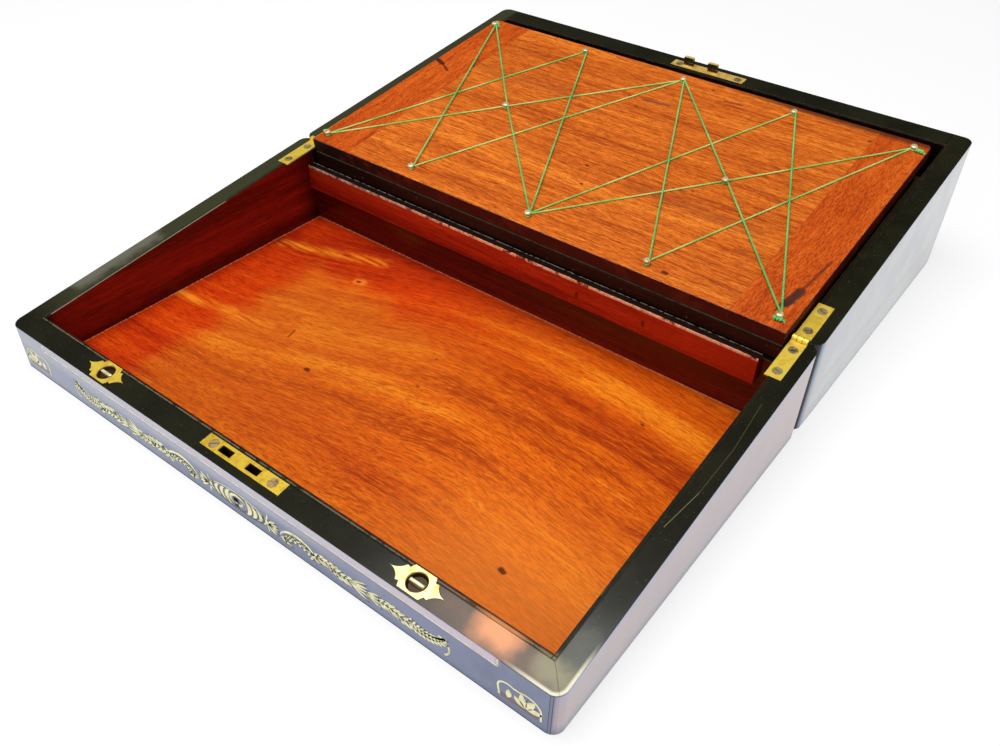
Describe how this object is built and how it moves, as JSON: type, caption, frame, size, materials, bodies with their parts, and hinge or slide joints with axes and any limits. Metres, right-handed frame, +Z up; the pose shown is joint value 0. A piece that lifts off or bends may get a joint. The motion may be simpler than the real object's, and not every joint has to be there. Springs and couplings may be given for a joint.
{
  "type": "writing slope",
  "caption": "Wedge-shaped writing box in two hinged halves, with folding writing flaps, a hook lock, pen wells and pull-up book rests.",
  "frame": {"origin": "centre of the open slope's footprint, on the table, under the hinge line between the two halves", "axes": "+X across the slope to the writer's right, +Y from the writer towards the far edge, +Z up"},
  "size_m": [0.406, 0.4928, 0.1028],
  "materials": {
    "ebonised_wood": "polished black",
    "mahogany": "oiled",
    "brass": "worn satin",
    "steel": "dull",
    "leather": "matt",
    "string": "twisted",
    "felt": "matt"
  },
  "bodies": {
    "base": {"base_felt": "felt", "base_bottom": "mahogany", "base_far_wall": "ebonised_wood", "base_left_wall": "ebonised_wood", "base_right_wall": "ebonised_wood", "base_hinge_wall": "ebonised_wood", "base_left_lining": "mahogany", "base_right_lining": "mahogany", "base_far_lining": "mahogany", "base_left_cheek": "mahogany", "base_right_cheek": "mahogany", "base_left_ledger": "mahogany", "base_right_ledger": "mahogany", "pen_wall": "mahogany", "left_divider": "mahogany", "middle_divider": "mahogany", "right_divider": "mahogany", "pen_tray": "mahogany", "well_floor": "mahogany", "link_plate": "brass", "link_screws": "brass", "left_base_leaf": "brass", "right_base_leaf": "brass", "base_hinge_screws": "brass", "hinge_pins": "steel"},
    "lid": {"lid_top_veneer": "ebonised_wood", "lid_top_board": "mahogany", "lid_near_wall": "ebonised_wood", "lid_left_wall": "ebonised_wood", "lid_right_wall": "ebonised_wood", "lid_hinge_wall": "ebonised_wood", "lid_left_lining": "mahogany", "lid_right_lining": "mahogany", "lid_near_lining": "mahogany", "lid_hinge_rail": "mahogany", "lid_near_ledge": "mahogany", "lock_plate": "brass", "lock_case": "brass", "lock_spring": "steel", "lock_key_pin": "steel", "lock_screws": "brass", "keyhole_escutcheon": "brass", "left_rest_plate": "brass", "right_rest_plate": "brass", "left_lid_leaf": "brass", "right_lid_leaf": "brass", "lid_hinge_screws": "brass"},
    "lock_bolt": {"lock_bolt": "brass"},
    "left_rest": {"left_rest_blade": "brass"},
    "right_rest": {"right_rest_blade": "brass"},
    "far_flap": {"far_board": "mahogany", "far_cleats": "mahogany", "far_leather": "leather", "hinge_cloth": "leather"},
    "near_flap": {"near_board": "mahogany", "left_cleat": "mahogany", "right_cleat": "mahogany", "near_leather": "leather", "tacks": "brass", "strings": "string"}
  },
  "joints": [
    {"name": "lid_hinge", "type": "hinge", "parent": "base", "child": "lid", "pos_m": [0, 0, 0.06365], "axis": [-1, 0, 0], "range_deg": [0, 180]},
    {"name": "far_flap_hinge", "type": "hinge", "parent": "base", "child": "far_flap", "pos_m": [0, -0.00764, 0.06026], "axis": [-1, 0, 0], "range_deg": [-100, 0]},
    {"name": "near_flap_hinge", "type": "hinge", "parent": "far_flap", "child": "near_flap", "pos_m": [0, -0.00764, 0.06026], "axis": [1, 0, 0], "range_deg": [0, 180]},
    {"name": "left_rest_slide", "type": "slide", "parent": "lid", "child": "left_rest", "axis": [0, 0.1331, -0.9911], "range_m": [-0.01, 0]},
    {"name": "right_rest_slide", "type": "slide", "parent": "lid", "child": "right_rest", "axis": [0, 0.1331, -0.9911], "range_m": [-0.01, 0]},
    {"name": "lock_bolt_slide", "type": "slide", "parent": "lid", "child": "lock_bolt", "axis": [-1, 0, 0], "range_m": [0, 0.0051]}
  ]
}
